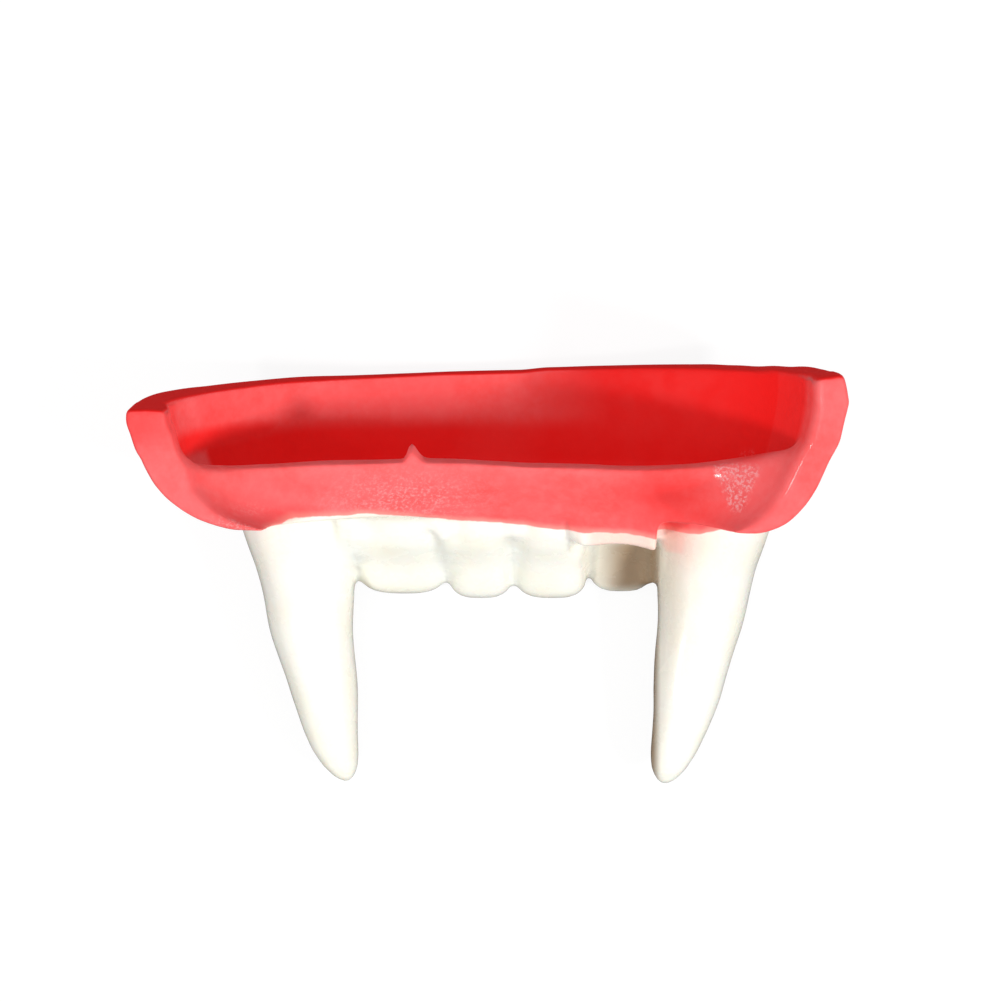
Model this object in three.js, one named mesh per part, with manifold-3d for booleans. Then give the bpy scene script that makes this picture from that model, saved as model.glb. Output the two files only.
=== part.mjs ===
import * as THREE from 'three';
import { mergeVertices } from 'three/addons/utils/BufferGeometryUtils.js';
import Module from 'manifold-3d';

const wasm = await Module();
wasm.setup();

// Costume denture with two vampire fangs, in millimetres. It lies on its lip side: +X runs across it
// to the wearer's right, +Y from the fang tips up to the rim, and +Z from the lips to the tongue.
// It is modelled level with the row of teeth, with Y = 0 at the gum line and Z = 0 at the front,
// and then turned until its rim is level.

// Driving dimensions of the gum
const gumWidth = 61.9; // across the rear ends of the rim
const archDepth = 24; // from the front face to the rear ends
const rimHeight = 12.6; // from the gum line to the rim, at the middle
const rimLean = 2; // degrees that the rim is askew to the row of teeth, up to the right
const rimRise = 1.2; // how far the rim stands up over that slope at its right rear end
const heelRise = 1; // how far the underside rises from the front to the rear ends
const gumAside = -1.4; // middle of the gum beside the middle of the teeth
const frontWall = 2.6;
const sideWall = 3;
const troughFloor = 3.2; // thickness of gum under the trough
const crestHeight = 5.9; // from the gum line to the crest of the wall behind the teeth
const crestSetback = 13; // from the front face to the trough side of that wall, at the middle
const lingualSetback = 16.4; // from the front face to the tongue side of the crest, at the middle
const rootSwelling = 0.6; // how far the gum swells over a fang's root

// Driving dimensions of the margin, the edge of the gum behind an incisor that stands forward
const marginDrop = 2.3; // from the gum line down to its lower edge, beside the tooth
const marginRise = 0.5; // how far that edge arches up behind the tooth
const marginShare = 0.86; // where its front is, as a share of the depth of the tooth

// Driving dimensions of the teeth
const fangGap = 27.7; // between the inner sides of the two fangs
const fangWidth = 10.4;
const fangLength = 25.7; // from the gum line to the tip
const fangSweep = 4.2; // how far the tip stands inward of the root
const incisorLength = 8.3;
const incisorDepth = 10.9; // of the incisors that stand flush with the gum behind them
const incisorSetback = 0.8; // from the front face to the incisors' lip side
const lateralSetforward = 0.7; // how much nearer the lips the right lateral incisor stands
const neckLength = 1.6; // how far each tooth's neck reaches into its socket
const neckShare = 0.6; // size of the neck beside its crown
const clearance = 0.3; // between a tooth and its socket or neighbour

// How round each outline is: 2 is an ellipse, and more is squarer
const SQUARENESS = { gum: 3.2, hollow: 2.6, tongue: 2.2, fang: 2.1, incisor: 2.8 };

// Number of points round each kind of outline, and along each arch of the margin
const POINTS = { gum: 65, hollow: 45, tongue: 37, fang: 22, incisor: 20, marginArch: 6 };

// Number of sections that each of these is worked out at
const STATIONS = { rim: 25, hollow: 8, crest: 37, tongue: 21 };

// The gum level by level: up and wide are shares of rimHeight and of half of gumWidth, tuck is how
// much narrower the rear is than the front, front is how far the face stands back as a share of
// archDepth, aside is a share of gumAside, and swell a share of rootSwelling
const GUM_LEVELS = [
  { up: 0.0, wide: 0.935, tuck: 0.22, front: 0.05, aside: 0.3, swell: 1.0 },
  { up: 0.04, wide: 0.948, tuck: 0.175, front: 0.026, aside: 0.45, swell: 1.0 },
  { up: 0.08, wide: 0.957, tuck: 0.145, front: 0.015, aside: 0.6, swell: 1.0 },
  { up: 0.15, wide: 0.965, tuck: 0.11, front: 0.006, aside: 0.85, swell: 1.0 },
  { up: 0.24, wide: 0.973, tuck: 0.08, front: 0.0, aside: 1.0, swell: 0.95 },
  { up: 0.35, wide: 0.981, tuck: 0.056, front: 0.0, aside: 1.1, swell: 0.8 },
  { up: 0.5, wide: 0.989, tuck: 0.035, front: 0.0, aside: 1.15, swell: 0.55 },
  { up: 0.7, wide: 0.997, tuck: 0.012, front: 0.0, aside: 1.05, swell: 0.3 },
  { up: 1.0, wide: 1.0, tuck: 0.0, front: 0.0, aside: 0.87, swell: 0.0 },
  { up: 1.3, wide: 0.972, tuck: 0.0, front: 0.0, aside: 0.87, swell: 0.0 },
];

// The face of the gum on the tongue side: up is a share of rimHeight and back of lingualSetback
const TONGUE_LEVELS = [
  { up: -0.32, back: 0.68 },
  { up: -0.1, back: 0.715 },
  { up: 0.04, back: 0.78 },
  { up: 0.16, back: 0.87 },
  { up: 0.3, back: 0.95 },
  { up: 0.46, back: 1.0 },
  { up: 1.3, back: 1.03 },
];

// The crest from the wearer's left to right: across is a share of half of gumWidth, and high a
// share of crestHeight
const CREST = [
  { across: -1.02, high: 1.75 },
  { across: -0.92, high: 1.38 },
  { across: -0.83, high: 1.08 },
  { across: -0.7, high: 0.99 },
  { across: -0.4, high: 1.02 },
  { across: -0.2, high: 1.03 },
  { across: 0.05, high: 0.99 },
  { across: 0.4, high: 0.95 },
  { across: 0.58, high: 1.02 },
  { across: 0.72, high: 1.16 },
  { across: 0.84, high: 1.36 },
  { across: 0.94, high: 1.55 },
  { across: 1.02, high: 1.75 },
];

// How far the rim stands up from the wearer's left to right: across is a share of half of gumWidth,
// and rise a share of rimRise
const RIM = [
  { across: -1.1, rise: 0 },
  { across: 0.45, rise: 0 },
  { across: 0.7, rise: 0.15 },
  { across: 0.86, rise: 0.6 },
  { across: 1.0, rise: 1 },
  { across: 1.1, rise: 1.1 },
];

// A fang from root to tip: down is a share of fangLength, wide and front of fangWidth, and sweep
// of fangSweep; front is how far its lip side stands behind the front face
const FANG = [
  { down: 0.0, wide: 1.02, sweep: 0.0, front: 0.03 },
  { down: 0.06, wide: 0.994, sweep: 0.03, front: 0.022 },
  { down: 0.12, wide: 0.948, sweep: 0.08, front: 0.012 },
  { down: 0.2, wide: 0.885, sweep: 0.155, front: 0.004 },
  { down: 0.32, wide: 0.812, sweep: 0.233, front: 0.0 },
  { down: 0.44, wide: 0.746, sweep: 0.31, front: 0.01 },
  { down: 0.56, wide: 0.678, sweep: 0.414, front: 0.03 },
  { down: 0.68, wide: 0.609, sweep: 0.552, front: 0.055 },
  { down: 0.8, wide: 0.504, sweep: 0.707, front: 0.09 },
  { down: 0.88, wide: 0.42, sweep: 0.812, front: 0.12 },
  { down: 0.94, wide: 0.315, sweep: 0.9, front: 0.15 },
  { down: 0.98, wide: 0.18, sweep: 0.96, front: 0.2 },
  { down: 1.0, wide: 0.05, sweep: 1.0, front: 0.25 },
];

// An incisor from neck to edge: down is a share of its length, wide of its width, and thick and
// front of its depth; front is how far its lip side stands behind that of its neck
const INCISOR = [
  { down: 0.0, wide: 0.93, thick: 1.0, front: 0.0 },
  { down: 0.15, wide: 0.95, thick: 0.95, front: 0.0 },
  { down: 0.32, wide: 0.97, thick: 0.82, front: 0.0 },
  { down: 0.5, wide: 0.99, thick: 0.64, front: 0.0 },
  { down: 0.68, wide: 1.0, thick: 0.465, front: 0.008 },
  { down: 0.82, wide: 0.98, thick: 0.34, front: 0.02 },
  { down: 0.9, wide: 0.88, thick: 0.265, front: 0.035 },
  { down: 0.955, wide: 0.7, thick: 0.19, front: 0.055 },
  { down: 0.985, wide: 0.52, thick: 0.115, front: 0.075 },
  { down: 1.0, wide: 0.3, thick: 0.05, front: 0.1 },
];

// The incisors from the wearer's left to right: wide is each one's share of the room between the
// fangs, long a share of incisorLength, deep of incisorDepth and forward of lateralSetforward
const INCISORS = [
  { name: 'lateral_incisor_left', wide: 0.302, long: 0.955, deep: 1, forward: 0 },
  { name: 'central_incisor_left', wide: 0.224, long: 1, deep: 1, forward: 0 },
  { name: 'central_incisor_right', wide: 0.252, long: 0.995, deep: 1, forward: 0 },
  { name: 'lateral_incisor_right', wide: 0.222, long: 0.945, deep: 0.6, forward: 1 },
];

const red = new THREE.MeshStandardMaterial({ color: 0xd8222a, roughness: 0.28, metalness: 0 });
const ivory = new THREE.MeshStandardMaterial({ color: 0xf6f2e4, roughness: 0.32, metalness: 0 });

// All columns of a table at any place between its rows, on smooth curves through them
function rowAt(table, key, at) {
  const last = table.length - 1;
  let i = 0;
  while (i < last - 1 && at > table[i + 1][key]) {
    i += 1;
  }
  const rows = [table[Math.max(i - 1, 0)], table[i], table[i + 1], table[Math.min(i + 2, last)]];
  const span = rows[2][key] - rows[1][key];
  const t = THREE.MathUtils.clamp((at - rows[1][key]) / span, 0, 1);
  const row = {};
  for (const column of Object.keys(table[0])) {
    const [before, from, to, after] = rows.map((each) => each[column]);
    const startSlope = (span * (to - before)) / (rows[2][key] - rows[0][key]);
    const endSlope = (span * (after - from)) / (rows[3][key] - rows[1][key]);
    row[column] = (2 * from - 2 * to + startSlope + endSlope) * t ** 3
      + (3 * to - 3 * from - 2 * startSlope - endSlope) * t ** 2 + startSlope * t + from;
  }
  return row;
}

// A closed skin over rings of points, fanned shut at both ends; each quad is split the short way
function loft(rings) {
  const count = rings[0].length;
  const ends = [rings[0], rings[rings.length - 1]];
  const middles = ends.map((ring) => {
    const sum = ring.reduce((total, point) => total.add(point), new THREE.Vector3());
    return sum.divideScalar(count);
  });
  const points = [...rings.flat(), ...middles];
  const positions = points.flatMap((point) => point.toArray());
  const faces = [];
  const firstMiddle = rings.length * count;
  const lastRing = (rings.length - 1) * count;
  for (let j = 0; j < count; j += 1) {
    const next = (j + 1) % count;
    for (let start = 0; start < lastRing; start += count) {
      const [a, b] = [start + j, start + next];
      const [c, d] = [b + count, a + count];
      if (points[a].distanceTo(points[c]) < points[b].distanceTo(points[d])) {
        faces.push(a, b, c, a, c, d);
      } else {
        faces.push(a, b, d, b, c, d);
      }
    }
    faces.push(firstMiddle, next, j);
    faces.push(firstMiddle + 1, lastRing + j, lastRing + next);
  }
  const geometry = new THREE.BufferGeometry();
  geometry.setAttribute('position', new THREE.Float32BufferAttribute(positions, 3));
  geometry.setIndex(faces);
  return geometry;
}

// A three.js geometry as a solid that can be cut and joined
function toSolid(geometry) {
  geometry.deleteAttribute('normal');
  geometry.deleteAttribute('uv');
  const merged = mergeVertices(geometry, 1e-4);
  return new wasm.Manifold(new wasm.Mesh({
    numProp: 3,
    vertProperties: Float32Array.from(merged.getAttribute('position').array),
    triVerts: Uint32Array.from(merged.index.array),
  }));
}

function toGeometry(solid) {
  const mesh = solid.getMesh();
  const geometry = new THREE.BufferGeometry();
  geometry.setAttribute('position', new THREE.Float32BufferAttribute(mesh.vertProperties, 3));
  geometry.setIndex(Array.from(mesh.triVerts));
  geometry.computeVertexNormals();
  return geometry;
}

// Half of a rounded oblong round the mouth, as (x, z) pairs from the wearer's right by the front
// to the left; it is open at the rear ends
function arch(half, depth, squareness, count) {
  const pairs = [];
  for (let i = 0; i < count; i += 1) {
    const angle = (Math.PI * i) / (count - 1);
    const across = Math.abs(Math.cos(angle)) / half;
    const forward = Math.sin(angle) / depth;
    const reach = (across ** squareness + forward ** squareness) ** (-1 / squareness);
    pairs.push({ x: Math.cos(angle) * reach, z: archDepth - Math.sin(angle) * reach });
  }
  return pairs;
}

// Height of a level of the gum at a distance from the front: the underside rises to the rear
function heightAt(up, z) {
  return up * rimHeight + (1 - up) * heelRise * (z / archDepth);
}

// How far the gum stands out over the roots of the fangs
function swellingAt(x, level) {
  const fromRoot = (Math.abs(x) - fangMiddle) / (fangWidth / 2);
  return rootSwelling * level.swell * Math.exp(-(fromRoot ** 2));
}

// One level of the gum's outer form, or of its hollow when walls are taken off it
function gumRing(up, side, front, squareness, count) {
  const level = rowAt(GUM_LEVELS, 'up', up);
  const half = (gumWidth / 2) * level.wide - side;
  const depth = archDepth * (1 - level.front) - front;
  return arch(half, depth, squareness, count).map(({ x, z }) => {
    const forward = 1 - z / archDepth;
    const aside = gumAside * level.aside;
    const tucked = x * (1 - (level.tuck * z) / archDepth);
    const swollen = z - swellingAt(tucked + aside, level) * Math.max(forward, 0);
    return new THREE.Vector3(tucked + aside, heightAt(up, z), swollen);
  });
}

// The same ring carried on past the rear ends, so that what it cuts is open there
function openToRear(ring) {
  const past = new THREE.Vector3(0, 0, archDepth / 4);
  return [ring[0].clone().add(past), ...ring, ring[ring.length - 1].clone().add(past)];
}

function levelsBetween(low, high, count) {
  return Array.from({ length: count }, (_, i) => low + ((high - low) * i) / (count - 1));
}

function outerForm() {
  const rings = GUM_LEVELS.map(({ up }) => gumRing(up, 0, 0, SQUARENESS.gum, POINTS.gum));
  return toSolid(loft(rings));
}

// The wall between the trough and the tongue, as a block that reaches past the rear ends
function wallBehindTrough() {
  const across = (gumWidth / 2) * CREST[CREST.length - 1].across;
  const troughHalf = gumWidth / 2 - sideWall;
  const rings = levelsBetween(-across, across, STATIONS.crest).map((x) => {
    const crest = rowAt(CREST, 'across', x / (gumWidth / 2)).high * crestHeight;
    const beside = Math.min(Math.abs(x) / troughHalf, 1);
    const bow = (1 - beside ** SQUARENESS.tongue) ** (1 / SQUARENESS.tongue);
    const front = archDepth - (archDepth - crestSetback) * bow;
    const rear = archDepth * 1.5;
    const middle = x + gumAside;
    return [
      new THREE.Vector3(middle, 0, front),
      new THREE.Vector3(middle, crest, front),
      new THREE.Vector3(middle, crest, rear),
      new THREE.Vector3(middle, 0, rear),
    ];
  });
  return toSolid(loft(rings));
}

// The hollow that goes over the wearer's gum, with the trough at its bottom
function hollow() {
  const highest = GUM_LEVELS[GUM_LEVELS.length - 1].up;
  const levels = levelsBetween(troughFloor / rimHeight, highest, STATIONS.hollow);
  const rings = levels.map((up) => {
    return openToRear(gumRing(up, sideWall, frontWall, SQUARENESS.hollow, POINTS.hollow));
  });
  return toSolid(loft(rings)).subtract(wallBehindTrough());
}

// The room for the tongue behind the wall
function tongueRoom() {
  const lowest = TONGUE_LEVELS[0].up;
  const highest = TONGUE_LEVELS[TONGUE_LEVELS.length - 1].up;
  const rings = levelsBetween(lowest, highest, STATIONS.tongue).map((up) => {
    const { back } = rowAt(TONGUE_LEVELS, 'up', up);
    const level = rowAt(GUM_LEVELS, 'up', Math.max(up, 0));
    const half = (gumWidth / 2) * level.wide * (1 - level.tuck) - sideWall;
    const depth = archDepth - back * lingualSetback;
    const ring = arch(half, depth, SQUARENESS.tongue, POINTS.tongue).map(({ x, z }) => {
      return new THREE.Vector3(x + gumAside * level.aside, heightAt(up, archDepth), z);
    });
    return openToRear(ring);
  });
  return toSolid(loft(rings));
}

// What is cut off over the rim, which slopes up to the right by rimLean
function overRim() {
  const across = (gumWidth / 2) * RIM[RIM.length - 1].across;
  const slope = Math.tan(THREE.MathUtils.degToRad(rimLean));
  const past = archDepth / 2;
  const rings = levelsBetween(-across, across, STATIONS.rim).map((x) => {
    const level = rimHeight + (x + gumAside) * slope;
    const { rise } = rowAt(RIM, 'across', x / (gumWidth / 2));
    const climb = (rise * rimRise) / archDepth;
    const middle = x + gumAside;
    return [
      new THREE.Vector3(middle, level - climb * past, -past),
      new THREE.Vector3(middle, level + rimHeight, -past),
      new THREE.Vector3(middle, level + rimHeight, archDepth + past),
      new THREE.Vector3(middle, level + climb * (archDepth + past), archDepth + past),
    ];
  });
  return toSolid(loft(rings));
}

// The margin behind an incisor, with a lower edge that arches up between the tooth's two sides
function marginBehind({ middle, width, setback, depth }) {
  const reach = (width + clearance) / 2;
  const front = setback + depth * marginShare;
  const overlap = troughFloor / 2;
  const shape = new THREE.Shape();
  shape.moveTo(middle - reach, overlap);
  shape.lineTo(middle - reach, -marginDrop);
  shape.quadraticCurveTo(middle, 2 * marginRise - marginDrop, middle + reach, -marginDrop);
  shape.lineTo(middle + reach, overlap);
  shape.closePath();
  const geometry = new THREE.ExtrudeGeometry(shape, {
    depth: lingualSetback - front,
    bevelEnabled: false,
    curveSegments: POINTS.marginArch,
  });
  geometry.translate(0, 0, front);
  return toSolid(geometry);
}

// Where each incisor stands: they share the room between the fangs in the order of their table
const fangMiddle = fangGap / 2 + (fangWidth * FANG[0].wide) / 2;
const incisorRoom = fangGap - clearance;
const incisorPlaces = [];
for (const { name, wide, long, deep, forward } of INCISORS) {
  const before = incisorPlaces.reduce((sum, place) => sum + place.width + clearance, 0);
  const width = incisorRoom * wide - clearance;
  incisorPlaces.push({
    name,
    width,
    length: incisorLength * long,
    depth: incisorDepth * deep,
    setback: incisorSetback - lateralSetforward * forward,
    middle: before + (width + clearance) / 2 - incisorRoom / 2,
  });
}

// A rounded ring across a tooth, from its middle in x and z and its half sizes
function toothRing(y, x, z, halfWidth, halfDepth, squareness, count) {
  return Array.from({ length: count }, (_, i) => {
    const angle = (2 * Math.PI * i) / count;
    const [across, along] = [Math.cos(angle), Math.sin(angle)];
    const power = Math.abs(across) ** squareness + Math.abs(along) ** squareness;
    const reach = power ** (-1 / squareness);
    return new THREE.Vector3(x + across * reach * halfWidth, y, z + along * reach * halfDepth);
  });
}

// Brings a ring up to a distance from the underside of the gum, which is over the tooth
function followUnderside(ring, setback, distance) {
  return ring.map((point) => {
    const underside = heightAt(0, point.z + setback);
    return new THREE.Vector3(point.x, underside + distance, point.z);
  });
}

// The rings of a tooth from the top of its neck down to the last row of its crown
function toothRings(crown, setback) {
  const [{ x, z, halfWidth, halfDepth, squareness, count }] = crown;
  const [neckWidth, neckDepth] = [halfWidth * neckShare, halfDepth * neckShare];
  const neck = toothRing(0, x, z, neckWidth, neckDepth, squareness, count);
  const shoulder = toothRing(0, x, z, halfWidth, halfDepth, squareness, count);
  const rings = [
    followUnderside(neck, setback, neckLength),
    followUnderside(neck, setback, -clearance),
    followUnderside(shoulder, setback, -clearance),
  ];
  for (const row of crown.slice(1)) {
    rings.push(toothRing(row.y, row.x, row.z, row.halfWidth, row.halfDepth, squareness, count));
  }
  return rings;
}

// The room that a tooth takes in the gum: a socket round its neck, and its crown with a clearance
function toothRoom(crown, setback) {
  const [{ x, z, halfWidth, halfDepth, squareness, count }] = crown;
  const width = halfWidth * neckShare + clearance;
  const depth = halfDepth * neckShare + clearance;
  const neck = toothRing(0, x, z, width, depth, squareness, count);
  const grown = crown.map((row) => {
    const [wider, deeper] = [row.halfWidth + clearance, row.halfDepth + clearance];
    return toothRing(row.y, row.x, row.z, wider, deeper, squareness, count);
  });
  return loft([
    followUnderside(neck, setback, neckLength + clearance),
    followUnderside(neck, setback, 0),
    followUnderside(grown[0], setback, 0),
    ...grown.slice(1),
  ]);
}

// A fang's crown round its own root, swept to the side that its sign gives
function fangCrown(inward) {
  return FANG.map(({ down, wide, sweep, front }) => ({
    y: -down * fangLength,
    x: inward * sweep * fangSweep,
    z: fangWidth * (front + wide / 2),
    halfWidth: (fangWidth * wide) / 2,
    halfDepth: (fangWidth * wide) / 2,
    squareness: SQUARENESS.fang,
    count: POINTS.fang,
  }));
}

function incisorCrown(width, length, depth) {
  return INCISOR.map(({ down, wide, thick, front }) => ({
    y: -down * length,
    x: 0,
    z: depth * (front + thick / 2),
    halfWidth: (width * wide) / 2,
    halfDepth: (depth * thick) / 2,
    squareness: SQUARENESS.incisor,
    count: POINTS.incisor,
  }));
}

// Each tooth with its name, its place and the shape of its crown
const teeth = [
  { name: 'fang_left', middle: -fangMiddle, setback: 0, crown: fangCrown(1) },
  ...incisorPlaces.map(({ name, middle, setback, width, length, depth }) => {
    return { name, middle, setback, crown: incisorCrown(width, length, depth) };
  }),
  { name: 'fang_right', middle: fangMiddle, setback: 0, crown: fangCrown(-1) },
];

function gumBase() {
  let gum = outerForm();
  for (const place of incisorPlaces.filter(({ setback }) => setback < incisorSetback)) {
    gum = gum.add(marginBehind(place));
  }
  for (const cut of [hollow(), tongueRoom(), overRim()]) {
    gum = gum.subtract(cut);
  }
  for (const { middle, setback, crown } of teeth) {
    const room = toothRoom(crown, setback);
    room.translate(middle, 0, setback);
    gum = gum.subtract(toSolid(room));
  }
  const mesh = new THREE.Mesh(toGeometry(gum), red);
  mesh.name = 'gum_base';
  return mesh;
}

function toothMesh({ name, middle, setback, crown }) {
  const geometry = toGeometry(toSolid(loft(toothRings(crown, setback))));
  const mesh = new THREE.Mesh(geometry, ivory);
  mesh.name = name;
  mesh.position.set(middle, 0, setback);
  return mesh;
}

const denture = new THREE.Group();
denture.add(gumBase(), ...teeth.map(toothMesh));
denture.rotation.z = -THREE.MathUtils.degToRad(rimLean);

// The origin is in the middle of the footprint, on the surface that the denture lies on
const part = new THREE.Group();
part.add(denture);
part.updateMatrixWorld(true);
const bounds = new THREE.Box3().setFromObject(part, true);
const middle = bounds.getCenter(new THREE.Vector3());
denture.position.set(-middle.x, -middle.y, -bounds.min.z);

export default part;
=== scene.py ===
import math

import bmesh
import bpy
import numpy as np
from mathutils import Matrix, Vector
from mathutils.kdtree import KDTree


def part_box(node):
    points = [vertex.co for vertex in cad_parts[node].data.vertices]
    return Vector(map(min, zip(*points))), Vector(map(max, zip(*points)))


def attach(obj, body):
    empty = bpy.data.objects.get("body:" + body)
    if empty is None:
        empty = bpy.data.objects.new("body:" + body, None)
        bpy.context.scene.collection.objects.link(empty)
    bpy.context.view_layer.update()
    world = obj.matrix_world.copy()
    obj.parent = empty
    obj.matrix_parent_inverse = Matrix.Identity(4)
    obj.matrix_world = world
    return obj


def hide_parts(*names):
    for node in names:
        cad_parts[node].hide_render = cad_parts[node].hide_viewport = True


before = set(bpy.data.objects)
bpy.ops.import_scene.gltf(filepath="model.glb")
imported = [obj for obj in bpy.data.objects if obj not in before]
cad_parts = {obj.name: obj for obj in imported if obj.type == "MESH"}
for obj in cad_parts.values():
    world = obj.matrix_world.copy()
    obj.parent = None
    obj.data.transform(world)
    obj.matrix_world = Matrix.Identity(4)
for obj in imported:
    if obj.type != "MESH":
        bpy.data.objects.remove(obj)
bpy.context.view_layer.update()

# The denture is shown as one resin casting, finished by hand. Its form is the frame's seven solids,
# fused and smoothed, and then cut apart again into a piece for each of them. Sizes are in
# millimetres until the pieces are made.
MM = 0.001

# The row of teeth leans in the frame: its own axes have x = 0 at the middle of the teeth, y = 0 at
# the gum line and z = 0 at the front
ROW_LEAN = math.radians(2)
ROW_PLACE = np.array([0.7663, 6.2495])

# How finely the form is worked, and how far gaps are closed and edges rounded
VOXEL = 0.25
CLOSING = 0.2
ROUNDING = 14
EDGE_STRETCH = 0.3
TIP_STRETCH = 0.3

NODES = list(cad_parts)
GUM = "gum_base"
FANG_INSIDE = 13.75
FANG_MIDDLE = 19.15
FANG_HALF = 5.3

# Where each two incisors meet, from the wearer's left to right
INCISOR_EDGES = [-13.75, -5.43, 0.71, 7.5, 13.75]

# The edge of the red paint behind the teeth, as x and y along the row
PAINT_BEHIND = [
    (-27, -3.0),
    (-24.0, -1.2),
    (-21.5, -0.2),
    (-20.8, 0.7),
    (-18.7, 1.2),
    (-11.5, 1.12),
    (-7.9, 0.6),
    (-4.2, 0.09),
    (-0.5, -0.17),
    (3.2, -0.44),
    (6.8, -0.79),
    (10.5, -0.6),
    (14.1, -1.05),
    (17.6, -1.15),
    (21.2, -0.05),
    (23.5, -0.2),
    (25.0, -1.0),
    (27.0, -3.0),
]

# Webs of resin between neighbouring teeth: each has its middle in x, its half width, and rows of
# y with its front and rear in z
WEBS = [
    (-13.9, 1.3, [(0.6, 2.2, 11.0), (-1.8, 2.2, 10.2), (-3.6, 2.1, 8.0), (-5.0, 2.0, 5.4)]),
    (-5.43, 0.6, [(0.6, 2.2, 11.65), (-1.6, 2.2, 11.0), (-3.2, 2.2, 8.6), (-5.9, 2.0, 3.9)]),
    (0.71, 0.6, [(0.6, 2.2, 11.6), (-1.4, 2.2, 10.6), (-2.4, 2.2, 8.4), (-6.1, 2.0, 3.4)]),
    (7.55, 0.7, [(0.6, 1.8, 6.4), (-1.6, 1.8, 6.2), (-3.2, 1.8, 5.2), (-5.8, 1.4, 2.9)]),
    (-6.3, 0.9, [(1.2, 6.0, 11.5), (-0.7, 6.0, 11.3)]),
    (7.7, 1.4, [(1.6, 6.0, 12.1), (-0.6, 6.0, 11.9), (-1.4, 6.0, 11.3), (-2.1, 5.5, 10.3)]),
    (13.8, 1.0, [(0.6, 1.8, 6.0), (-1.6, 1.8, 5.8), (-3.2, 1.8, 5.0), (-6.9, 1.4, 2.7)]),
]

# Where the cut ends of the gum are joined inside it, as y and z along the row, and those of a tooth
SPINE = (1.4, 5.5)
SPINE_STEP = 0.5
TOOTH_HEART = -1.0


def lookup(points, x):
    """The second value of a list of pairs at x, between its pairs."""
    xs, ys = zip(*points)
    return np.interp(x, xs, ys)


def hump(x, middle, half):
    """A smooth hump of height 1 round a middle."""
    return np.exp(-(((x - middle) / half) ** 2))


def step(x, low, high):
    """0 below low and 1 above high, smoothly."""
    t = np.clip((x - low) / (high - low), 0, 1)
    return t * t * (3 - 2 * t)


def between(x, start, full, fade, end):
    """1 from full to fade, and 0 before start and after end, smoothly."""
    return step(x, start, full) * step(-x, -end, -fade)


def to_row(co):
    c, s = math.cos(ROW_LEAN), math.sin(ROW_LEAN)
    x, y = co[:, 0] - ROW_PLACE[0], co[:, 1] - ROW_PLACE[1]
    return np.stack([c * x - s * y, s * x + c * y, co[:, 2]], -1)


def from_row(row):
    c, s = math.cos(ROW_LEAN), math.sin(ROW_LEAN)
    x, y = row[:, 0], row[:, 1]
    return np.stack([c * x + s * y + ROW_PLACE[0], c * y - s * x + ROW_PLACE[1], row[:, 2]], -1)


def new_mesh(name, co, faces):
    mesh = bpy.data.meshes.new(name)
    mesh.from_pydata(np.asarray(co).tolist(), [], np.asarray(faces).tolist())
    mesh.update()
    return mesh


def arrays(mesh):
    """Vertices, vertex normals and faces of four corners of a remeshed mesh."""
    co = np.zeros(len(mesh.vertices) * 3)
    mesh.vertices.foreach_get("co", co)
    normals = np.zeros(len(mesh.vertices) * 3, np.float32)
    mesh.vertex_normals.foreach_get("vector", normals)
    faces = np.zeros(len(mesh.loops), int)
    mesh.loops.foreach_get("vertex_index", faces)
    return co.reshape(-1, 3), normals.reshape(-1, 3), faces.reshape(-1, 4)


def remeshed(mesh, voxel):
    """The mesh worked over in squares of one size."""
    thing = bpy.data.objects.new("work", mesh)
    bpy.context.scene.collection.objects.link(thing)
    modifier = thing.modifiers.new("voxels", "REMESH")
    modifier.mode = "VOXEL"
    modifier.voxel_size = voxel
    graph = bpy.context.evaluated_depsgraph_get()
    fine = bpy.data.meshes.new_from_object(thing.evaluated_get(graph))
    result = arrays(fine)
    bpy.data.objects.remove(thing)
    bpy.data.meshes.remove(fine)
    bpy.data.meshes.remove(mesh)
    return result


def edges_of(faces):
    pairs = np.concatenate([np.stack([faces[:, k], faces[:, (k + 1) % 4]], -1) for k in range(4)])
    return np.unique(np.sort(pairs, 1), axis=0)


def smoothed(co, edges, weight, times):
    """Moves each vertex towards the middle of its neighbours; weight may differ by vertex."""
    i, j = edges.T
    count = len(co)
    number = np.maximum(np.bincount(i, minlength=count) + np.bincount(j, minlength=count), 1)
    co = co.copy()
    for _ in range(times):
        total = np.stack(
            [
                np.bincount(i, co[j, k], count) + np.bincount(j, co[i, k], count)
                for k in range(3)
            ],
            -1,
        )
        co += (total / number[:, None] - co) * weight
    return co


def normals_of(co, faces):
    across = co[faces[:, 2]] - co[faces[:, 0]]
    along = co[faces[:, 3]] - co[faces[:, 1]]
    flat = np.cross(across, along)
    normals = np.zeros_like(co)
    for k in range(4):
        for axis in range(3):
            normals[:, axis] += np.bincount(faces[:, k], flat[:, axis], len(co))
    return normals / np.maximum(np.linalg.norm(normals, axis=1, keepdims=True), 1e-12)


def frame_solid(node):
    """A solid of the frame in millimetres, closed."""
    form = bmesh.new()
    form.from_mesh(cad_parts[node].data)
    bmesh.ops.scale(form, vec=(1 / MM,) * 3, verts=form.verts)
    bmesh.ops.remove_doubles(form, verts=form.verts, dist=1e-3)
    mesh = bpy.data.meshes.new("work")
    form.to_mesh(mesh)
    form.free()
    return mesh


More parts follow.
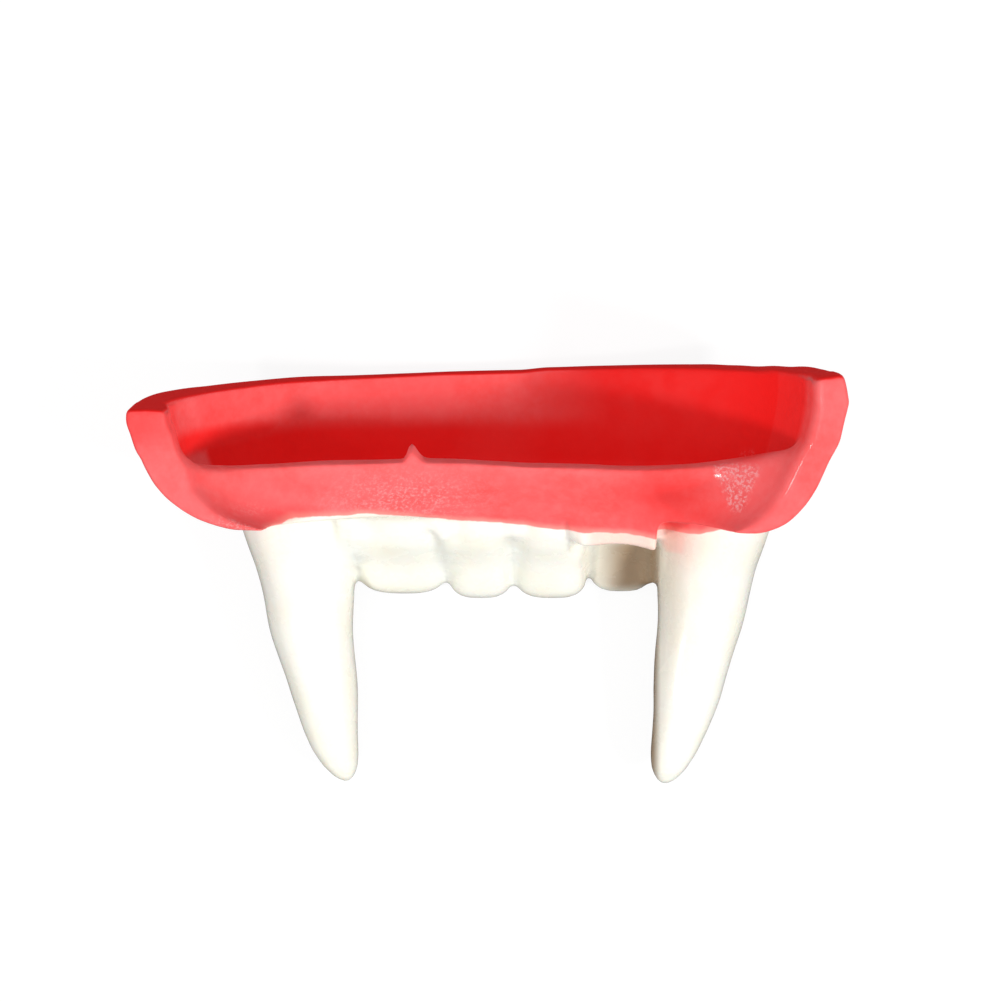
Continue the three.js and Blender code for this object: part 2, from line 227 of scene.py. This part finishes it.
def web(x, half, rows):
    """A block between two teeth, lofted through its rows."""
    corners = [
        (x + side * half, y, z)
        for y, front, rear in rows
        for side, z in ((-1, front), (1, front), (1, rear), (-1, rear))
    ]
    last = 4 * (len(rows) - 1)
    faces = [(0, 1, 2, 3), (last + 3, last + 2, last + 1, last)]
    for start in range(0, last, 4):
        for k in range(4):
            after = (k + 1) % 4
            faces.append((start + k, start + k + 4, start + after + 4, start + after))
    mesh = new_mesh("work", from_row(np.array(corners)), faces)
    form = bmesh.new()
    form.from_mesh(mesh)
    bmesh.ops.recalc_face_normals(form, faces=form.faces)
    form.to_mesh(mesh)
    form.free()
    return mesh


def nearest_nodes(co, faces, node_co):
    """For each face the number of the node that it is nearest to, with stray faces evened out."""
    tree = KDTree(sum(len(points) for points in node_co))
    owners = np.repeat(np.arange(len(node_co)), [len(points) for points in node_co])
    for number, point in enumerate(np.concatenate(node_co)):
        tree.insert(point, number)
    tree.balance()
    nearest = owners[[tree.find(middle)[1] for middle in co[faces].mean(1)]]
    for _ in range(4):
        votes = np.zeros((len(faces), len(node_co)))
        for label in range(len(node_co)):
            at_corners = np.zeros(len(co))
            for k in range(4):
                at_corners += np.bincount(faces[:, k], nearest == label, len(co))
            votes[:, label] = at_corners[faces].sum(1)
        nearest = votes.argmax(1)
    return nearest


def casting():
    """The whole denture as one closed form, and the node that each of its faces is nearest to."""
    solids = [frame_solid(node) for node in NODES] + [web(*row) for row in WEBS]
    all_co, all_faces, start = [], [], 0
    for solid in solids:
        co, normals, faces = remeshed(solid, VOXEL)
        all_co.append(co + normals * CLOSING)
        all_faces.append(faces + start)
        start += len(co)
    fused = new_mesh("work", np.concatenate(all_co), np.concatenate(all_faces))
    co, _, faces = remeshed(fused, VOXEL)
    edges = edges_of(faces)
    co = smoothed(co, edges, 0.5, 3)
    co -= normals_of(co, faces) * CLOSING
    x, y, _ = to_row(co).T
    tips = step(-y, 19, 25)
    biting = step(-y, 4, 6) * step(FANG_INSIDE - np.abs(x), 0, 1)
    weight = (0.5 * (1 - 0.85 * tips) * (1 - 0.75 * biting))[:, None]
    co = smoothed(co, edges, weight, ROUNDING)

    # The ends of the gum are softer on their inner side
    row = to_row(co)
    inward = -normals_of(co, faces)[:, 0] * np.sign(row[:, 0])
    soft = step(inward, 0.0, 0.35) * step(row[:, 2], 17, 21) * step(row[:, 1], 0.5, 2)
    soft *= np.where(row[:, 0] > 0, 0.5, 0.3)
    co = smoothed(co, edges, soft[:, None], 3 * ROUNDING)
    return co, faces, edges, nearest_nodes(co, faces, all_co[: len(NODES)])


def worked_by_hand(co, faces, edges):
    """The small irregularities of a form that was modelled by hand."""
    row = to_row(co)
    x, y, z = row.T
    normals = normals_of(co, faces)

    # A pointed nub on the crest
    along = x + 0.25 * (y - 6) + 8.2
    nub = hump(along, 0, np.where(along < 0, 0.33, 0.75))
    nub *= hump(z, 14.8, 1.8) * step(y, 4.9, 6.0) * step(-y, -9.5, -8)
    row[:, 1] += 1.6 * nub

    # The right central incisor is narrower at its root, where the ledge beside it begins
    pinch = hump(x, 7.4, 1.3) * step(z, 6.5, 8.5) * step(y, -5.4, -2.0) * step(-y, -1.6, 0.2)
    row[:, 0] -= 1.0 * pinch

    # The incisal edges and the tips of the fangs are drawn out again after the rounding
    row[:, 1] -= EDGE_STRETCH * step(-y, 4.5, 7) * step(FANG_INSIDE - np.abs(x), 0, 0.6)
    row[:, 1] -= TIP_STRETCH * step(-y, 18, 25)

    # The fangs waver a little on the way to their tips
    row[:, 0] += step(-y, 3, 12) * 0.1 * np.sin(y * 0.62 + np.sign(x) * 0.9)

    # The outline of the gum's ends and of its upper edge, as the hand left it
    outward = normals[:, 0] * np.sign(x)
    high = step(y, 9.0, 10.5)
    row[:, 0] -= 0.3 * high * step(-x, 27, 29)
    row[:, 0] += 0.2 * between(y, 1.5, 3.0, 7.0, 8.0) * step(-x, 25, 27) * step(outward, 0.2, 0.6)
    row[:, 0] += 0.15 * step(y, 7, 9) * step(-y, -13, -12) * step(x, 26, 28)
    row[:, 1] += 0.2 * high * step(x, 1, 4)
    row[:, 0] += 0.8 * step(-x, 20, 24) * step(-outward, 0.1, 0.6) * step(z, 18, 22) * step(y, 4, 7)
    co = from_row(row)

    # Soft lumps all over, most of all on the gum
    lumps = np.zeros(len(co))
    random = np.random.default_rng(7)
    for _ in range(28):
        direction = random.normal(size=3)
        direction /= np.linalg.norm(direction)
        length = random.uniform(5, 14)
        phase = random.uniform(0, 2 * math.pi)
        lumps += np.sin(co @ direction * (2 * math.pi / length) + phase) * length / 14
    height = 0.016 * (0.4 + 0.6 * step(y, -1, 2))
    co += normals * (lumps * height)[:, None]
    return smoothed(co, edges, 0.4, 2)


def paint_edge(x, z):
    """The y of the edge of the paint: measured behind the teeth, and scalloped in front."""
    middles = [(a + b) / 2 for a, b in zip(INCISOR_EDGES, INCISOR_EDGES[1:])]
    halves = [(b - a) / 2 for a, b in zip(INCISOR_EDGES, INCISOR_EDGES[1:])]
    middles = [-FANG_MIDDLE, *middles, FANG_MIDDLE]
    halves = [FANG_HALF, *halves, FANG_HALF]
    scallop = np.full(len(x), -1.2)
    for middle, half in zip(middles, halves):
        t = np.clip(np.abs(x - middle) / half, 0, 1)
        scallop = np.maximum(scallop, -1.2 + 1.7 * (1 - t**2.4))
    outside = step(np.abs(x), 24.0, 26.0)
    scallop = scallop - 4 * outside
    behind = lookup(PAINT_BEHIND, x)
    share = step(z, 4.5, 9.0)
    return scallop * (1 - share) + behind * share


def rim_top(y, normals):
    """The upper face of the lip wall's rim."""
    return step(normals[:, 1], 0.4, 0.8) * step(y, 9, 10.5)


def painted_shade_red(x, y, z, normals):
    """Painted shade: how far the paint is darkened to a deep red where shadow falls, in the trough, on
    the rim's upper face, on the inner sides of the ends, beside the right fang and on the upper left
    end.
    """
    outward = normals[:, 0] * np.sign(x)
    outer_side = step(outward, 0.1, 0.4) * step(np.abs(x), 17, 20)
    outer_side = np.maximum(outer_side, step(-normals[:, 2], 0.1, 0.4))
    in_trough = between(z, 2.2, 2.8, 12.5, 13.5) * step(y, 2.6, 3.4) * (1 - outer_side)
    # The upper far wall, on the left and in the middle, is lit, so the painted shade is mostly lifted
    # there
    lit_far_wall = step(y + 0.7 * step(-x, 18, 26), 7, 9) * step(-x, -10, 1)
    in_trough *= 1 - 0.8 * lit_far_wall

    # The inner sides of the two ends, darkened as painted shade; on the left end only up to about the
    # top of the trough, since above it the light falls on the wall
    in_ends = 0.9 * step(-outward, -0.1, 0.12) * step(np.abs(x), 19, 22)
    in_ends *= step(y, 6.1, 6.9) * step(-z, -21, -18)
    in_ends *= np.where(x > 0, 1, step(-y, -9.2, -7.8))

    facing_rear = step(z, 9, 12) * step(normals[:, 2], 0.1, 0.5)
    # Painted shade on the tongue face above the right fang, where the key light does not reach, and on
    # the upper part of the left end
    above_fang = 0.62 * hump(x, 14.4, 4.0) * hump(y, 3.0, 3.5) * facing_rear
    left_end = 0.5 * step(-x, 26, 28) * step(y, 7, 10) * step(z, 16, 18)
    return np.maximum.reduce([in_trough, in_ends, rim_top(y, normals), above_fang + left_end])


def finish_facts(co, normals):
    """How the finish differs over the casting, with the shade and glints painted into its colour, as
    values at its vertices.
    """
    x, y, z = to_row(co).T
    facing_rear = step(z, 9, 12) * step(normals[:, 2], 0.1, 0.5)

    # Patches of crazed varnish: a wide faint one, one that narrows downwards, and one on the left
    # lobe. Their bumps and varnish catch real light, and lighter pink specks painted over them are
    # painted glints
    wide_patch = hump(x, -8.5, 5.5) * hump(y, 2.6, 2.1)
    half = 0.3 + 0.4 * np.clip(y - 2.2, 0, 4)
    narrow_patch = step(half - np.abs(x - 20.4), -0.4, 0.3) * between(y, 1.9, 3.0, 5.9, 6.8)
    lobe_patch = hump(x, -22.8, 1.8) * hump(y, 1.5, 0.9)

    # Clear varnish lies on the inner ridges of the ends, on two of the patches and on the teeth
    ridges = step(np.abs(x), 23.3, 24.5) * step(z, 15.5, 18)
    ridges *= step(-normals[:, 0] * np.sign(x), 0.0, 0.3) * (1 - step(normals[:, 1], 0.4, 0.8))
    patches = (narrow_patch + lobe_patch) * facing_rear

    # Painted shade on the forward incisor, in the recess under the ledge and in the right fang's
    # shadow, and a little on the fang's inner flank that faces away from the light; the ledge above is
    # rosy
    behind_ledge = between(x, 6.6, 11.5, 13.6, 14.6) * step(-y, 1.4, 3.4) * step(z, 1.0, 2.4)
    fang_flank = step(-normals[:, 0], -0.1, 0.7) * step(x, 13, 14) * step(y, -24, -2)
    fang_root = hump(x, 16.6, 2.2) * hump(y, -2.2, 2.6) * step(z, 7, 9)
    ledge = between(x, 7.0, 8.2, 15.8, 17.0) * step(y, -3.4, -2.9) * step(z, 7, 8)
    return {
        "above_paint_edge": y - paint_edge(x, z),
        "crackle_and_glints": (0.7 * wide_patch + 1.2 * narrow_patch + 0.9 * lobe_patch) * facing_rear,
        "varnish": np.maximum.reduce([ridges, patches, step(-y, 1, 3)]),
        # Painted shade: a deep red where shadow falls
        "painted_shade": painted_shade_red(x, y, z, normals),
        "sanded": rim_top(y, normals),
        "rosy": np.maximum(0.45 * ledge, 0.18 * fang_root),
        "painted_shade_on_teeth": np.maximum(behind_ledge, 0.32 * fang_flank),
    }


def cut_edges(faces):
    """The edges round the faces of a piece, each with the direction that its face goes round in."""
    pairs = np.concatenate([np.stack([faces[:, k], faces[:, (k + 1) % 4]], -1) for k in range(4)])
    known = set(map(tuple, pairs.tolist()))
    return [(a, b) for a, b in pairs.tolist() if (b, a) not in known]


def inner_points(name, row):
    """Where the cut edge of a piece is joined inside it: along a spine in the gum, or at one point."""
    if name == GUM:
        along = np.round(np.clip(row[:, 0], -FANG_MIDDLE, FANG_MIDDLE) / SPINE_STEP) * SPINE_STEP
        return np.stack([along, np.full(len(row), SPINE[0]), np.full(len(row), SPINE[1])], -1)
    low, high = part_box(name)
    heart = to_row((np.array([low]) + np.array([high])) / 2 / MM)
    heart[:, 1] = TOOTH_HEART
    return np.tile(heart, (len(row), 1))


def make_piece(name, co, normals, faces, attributes, material):
    """One closed piece of the casting; where it was cut from its neighbours it is shut inside."""
    used, corners = np.unique(faces, return_inverse=True)
    corners = corners.reshape(-1, 4)
    cut = cut_edges(corners)
    ends = sorted({end for pair in cut for end in pair})
    inner = inner_points(name, to_row(co[used[ends]]))
    points, place = np.unique(inner, axis=0, return_inverse=True)
    inside = dict(zip(ends, (len(used) + place.ravel()).tolist()))
    shut = [(b, a, inside[a], inside[b]) for a, b in cut]
    shut = [face if face[2] != face[3] else face[:3] for face in shut]

    mesh = bpy.data.meshes.new(name + "_cast")
    all_co = np.concatenate([co[used], from_row(points)]) * MM
    mesh.from_pydata(all_co.tolist(), [], corners.tolist() + shut)
    mesh.update()
    for key, values in attributes.items():
        padded = np.concatenate([values[used], np.zeros(len(points))])
        mesh.attributes.new(key, "FLOAT", "POINT").data.foreach_set("value", padded)
    mesh.shade_smooth()
    padded = np.concatenate([normals[used], np.tile((0.0, 1.0, 0.0), (len(points), 1))])
    mesh.normals_split_custom_set_from_vertices(padded.tolist())
    mesh.materials.append(material)
    piece = bpy.data.objects.new(name + "_cast", mesh)
    bpy.context.scene.collection.objects.link(piece)
    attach(piece, "root")
    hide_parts(name)
    return piece


class Nodes:
    """A material's nodes, made and joined in short calls."""

    def __init__(self, name):
        self.material = bpy.data.materials.new(name)
        self.material.use_nodes = True
        self.tree = self.material.node_tree
        self.shader = self.tree.nodes["Principled BSDF"]

    def add(self, kind, inputs=(), **settings):
        node = self.tree.nodes.new(kind)
        for key, value in settings.items():
            setattr(node, key, value)
        for socket, value in dict(inputs).items():
            self.set(node.inputs[socket], value)
        return node

    def set(self, socket, value):
        if isinstance(value, bpy.types.NodeSocket):
            self.tree.links.new(value, socket)
        else:
            socket.default_value = value

    def place(self):
        """Where a point is on the object, in millimetres."""
        coordinates = self.add("ShaderNodeTexCoord")
        scaled = self.add(
            "ShaderNodeVectorMath",
            {0: coordinates.outputs["Object"], "Scale": 1 / MM},
            operation="SCALE",
        )
        return scaled.outputs["Vector"]

    def noise(self, place, scale, detail=3.0, roughness=0.5):
        node = self.add(
            "ShaderNodeTexNoise",
            {"Vector": place, "Scale": scale, "Detail": detail, "Roughness": roughness},
        )
        return node.outputs["Fac"]

    def attribute(self, name):
        return self.add("ShaderNodeAttribute", attribute_name=name).outputs["Fac"]

    def math(self, operation, a, b=0.0, c=0.0):
        node = self.add("ShaderNodeMath", {0: a, 1: b, 2: c}, operation=operation)
        return node.outputs["Value"]

    def ranged(self, value, low, high, to_low=0.0, to_high=1.0):
        node = self.add(
            "ShaderNodeMapRange",
            {"Value": value, "From Min": low, "From Max": high, "To Min": to_low, "To Max": to_high},
            interpolation_type="SMOOTHSTEP",
        )
        return node.outputs["Result"]

    def blend(self, share, a, b):
        return self.add("ShaderNodeMix", {0: share, 2: a, 3: b}).outputs[0]

    def mix(self, share, a, b):
        node = self.add("ShaderNodeMix", data_type="RGBA")
        self.set(node.inputs[0], share)
        self.set(node.inputs[6], a)
        self.set(node.inputs[7], b)
        return node.outputs[2]


def resin(name, coat):
    """Ivory resin with red paint over it, as far as the paint goes; shade, sheen and glints are
    painted into its colour.
    """
    nodes = Nodes(name)
    place = nodes.place()
    above = nodes.attribute("above_paint_edge")
    crackle_and_glints = nodes.attribute("crackle_and_glints")
    wobble = nodes.math("SUBTRACT", nodes.noise(place, 0.4, 4.0), 0.5)
    edge = nodes.math("MULTIPLY_ADD", wobble, 0.6, above)
    painted = nodes.ranged(edge, -0.07, 0.07)
    thick = nodes.ranged(edge, 0.0, 0.7)

    blotches = nodes.ranged(nodes.noise(place, 0.16, 3.0), 0.35, 0.65)
    fine = nodes.ranged(nodes.noise(place, 1.1, 4.0, 0.6), 0.3, 0.75)
    # The paint's pinker red, blotched at random; its pinkness is painted sheen, standing in for the
    # gloss of lit paint
    sheen_red = nodes.mix(blotches, (0.93, 0.085, 0.084, 1), (0.95, 0.115, 0.118, 1))
    sheen_red = nodes.mix(nodes.math("MULTIPLY", fine, 0.3), sheen_red, (0.96, 0.19, 0.195, 1))
    # Painted shade: a deep red where shadow falls on the gum
    red = nodes.mix(nodes.attribute("painted_shade"), sheen_red, (0.94, 0.006, 0.005, 1))
    # Painted glints: lighter pink specks over the crazed patches
    glint_specks = nodes.ranged(nodes.noise(place, 3.4, 4.0, 0.7), 0.46, 0.66)
    red = nodes.mix(nodes.math("MULTIPLY", glint_specks, crackle_and_glints), red, (0.95, 0.36, 0.37, 1))
    thin_red = nodes.mix(thick, (0.93, 0.26, 0.23, 1), red)

    tint = nodes.ranged(nodes.noise(place, 0.22, 3.0), 0.35, 0.7)
    ivory = nodes.mix(tint, (0.93, 0.92, 0.84, 1), (0.91, 0.89, 0.77, 1))
    # Painted shade: a brown darkening on the forward incisor and the fang's inner flank
    ivory = nodes.mix(nodes.attribute("painted_shade_on_teeth"), ivory, (0.32, 0.22, 0.13, 1))
    root = nodes.math("MULTIPLY", nodes.ranged(edge, -3.0, 0.0), 0.08)
    root = nodes.math("MAXIMUM", root, nodes.attribute("rosy"))
    rosy = nodes.mix(root, ivory, (0.93, 0.44, 0.36, 1))
    colour = nodes.mix(painted, rosy, thin_red)
    nodes.set(nodes.shader.inputs["Base Color"], colour)

    smears = nodes.ranged(nodes.noise(place, 0.45, 4.0, 0.6), 0.3, 0.75)
    satin = nodes.ranged(smears, 0.0, 1.0, 0.62, 0.76)
    glossy = nodes.ranged(smears, 0.0, 1.0, 0.22, 0.34)
    roughness = nodes.blend(painted, glossy, satin)
    roughness = nodes.blend(nodes.attribute("sanded"), roughness, 0.98)
    nodes.set(nodes.shader.inputs["Roughness"], roughness)

    peel = nodes.noise(place, 1.6, 2.0)
    pits = nodes.noise(place, 3.4, 4.0, 0.65)
    rough = nodes.math("MULTIPLY", pits, nodes.math("MULTIPLY_ADD", crackle_and_glints, 1.6, 0.06))
    height = nodes.math("MULTIPLY_ADD", peel, 0.25, rough)
    stepped = nodes.math("MULTIPLY_ADD", painted, 0.25, height)
    bump = nodes.add("ShaderNodeBump", {"Height": stepped, "Strength": 0.55, "Distance": 0.12 * MM})
    nodes.set(nodes.shader.inputs["Normal"], bump.outputs["Normal"])

    varnish = nodes.math("MULTIPLY", nodes.attribute("varnish"), coat)
    nodes.set(nodes.shader.inputs["Coat Weight"], varnish)
    nodes.shader.inputs["Coat Roughness"].default_value = 0.1
    nodes.shader.inputs["Specular IOR Level"].default_value = 0.35
    nodes.shader.inputs["Subsurface Weight"].default_value = 0.12
    nodes.shader.inputs["Subsurface Radius"].default_value = (1.0, 0.45, 0.3)
    nodes.shader.inputs["Subsurface Scale"].default_value = 1.2 * MM
    return nodes.material


gum_material = resin("painted_gum", 0.8)
tooth_material = resin("ivory_teeth", 0.5)

casting_co, casting_faces, casting_edges, casting_nodes = casting()
casting_co = worked_by_hand(casting_co, casting_faces, casting_edges)
casting_co[:, 2] -= casting_co[:, 2].min()
casting_normals = normals_of(casting_co, casting_faces)
facts = finish_facts(casting_co, casting_normals)
for number, node_name in enumerate(NODES):
    is_gum = node_name == GUM
    piece = make_piece(
        node_name,
        casting_co,
        casting_normals,
        casting_faces[casting_nodes == number],
        facts,
        gum_material if is_gum else tooth_material,
    )

# A pale floor without a pattern, near white to the eye but a dull thing in the gloss of the rim
floor_mesh = new_mesh("floor", [(-2, -2, 0), (2, -2, 0), (2, 2, 0), (-2, 2, 0)], [(0, 1, 2, 3)])
floor = bpy.data.objects.new("floor", floor_mesh)
bpy.context.scene.collection.objects.link(floor)
floor_nodes = Nodes("pale_floor")
seen = floor_nodes.add("ShaderNodeLightPath").outputs["Is Camera Ray"]
floor_nodes.set(floor_nodes.shader.inputs["Base Color"], (0.12, 0.12, 0.12, 1))
floor_nodes.set(floor_nodes.shader.inputs["Roughness"], 0.9)
floor_nodes.set(floor_nodes.shader.inputs["Emission Color"], (1, 1, 1, 1))
brightness = floor_nodes.math("MULTIPLY", seen, 0.88)
floor_nodes.set(floor_nodes.shader.inputs["Emission Strength"], brightness)
floor_mesh.materials.append(floor_nodes.material)

# Soft studio light: a key from the right, lower than the camera, and light from all round
world = bpy.data.worlds.new("studio")
world.use_nodes = True
world.node_tree.nodes["Background"].inputs["Color"].default_value = (1, 1, 1, 1)
world.node_tree.nodes["Background"].inputs["Strength"].default_value = 0.55
bpy.context.scene.world = world


def panel(name, direction, distance, size, power):
    """A square light that faces the denture."""
    light = bpy.data.lights.new(name, "AREA")
    light.size = size
    light.energy = power
    lamp = bpy.data.objects.new(name, light)
    bpy.context.scene.collection.objects.link(lamp)
    towards = Vector(direction).normalized()
    lamp.location = Vector((0, 0.008, 0.012)) + towards * distance
    lamp.rotation_mode = "QUATERNION"
    lamp.rotation_quaternion = towards.to_track_quat("Z", "Y")
    return lamp


panel("key", (0.714, -0.216, 0.666), 1.2, 0.18, 9)
panel("fill", (-0.45, -0.25, 0.85), 1.2, 0.8, 2.0)
panel("side", (-0.62, -0.28, 0.73), 1.2, 0.12, 4.0)
panel("upper", (-0.2, 0.95, 0.25), 1.2, 0.6, 1.7)
panel("glint", (-0.61, 0.24, 0.75), 1.2, 0.07, 0.5)

# The camera looks down at the photo's angle
CAMERA_TARGET = Vector((0.000573, 0.008250, 0.012))
CAMERA_DISTANCE = 0.3
CAMERA_TILT, CAMERA_YAW, CAMERA_ROLL = (math.radians(a) for a in (8.5, 1.5, -1.8))
camera_data = bpy.data.cameras.new("camera")
camera_data.sensor_width = 36
camera_data.lens = 120.3
camera_data.clip_start = 0.01
camera = bpy.data.objects.new("camera", camera_data)
bpy.context.scene.collection.objects.link(camera)
back = Vector(
    (
        math.sin(CAMERA_YAW) * math.cos(CAMERA_TILT),
        math.sin(CAMERA_TILT),
        math.cos(CAMERA_YAW) * math.cos(CAMERA_TILT),
    )
)
rolled_up = Vector((-math.sin(CAMERA_ROLL), math.cos(CAMERA_ROLL), 0))
right = rolled_up.cross(back).normalized()
upward = back.cross(right)
turned = Matrix((right, upward, back)).transposed().to_4x4()
camera.matrix_world = Matrix.Translation(CAMERA_TARGET + back * CAMERA_DISTANCE) @ turned
bpy.context.scene.camera = camera
bpy.context.scene.view_settings.view_transform = "Standard"
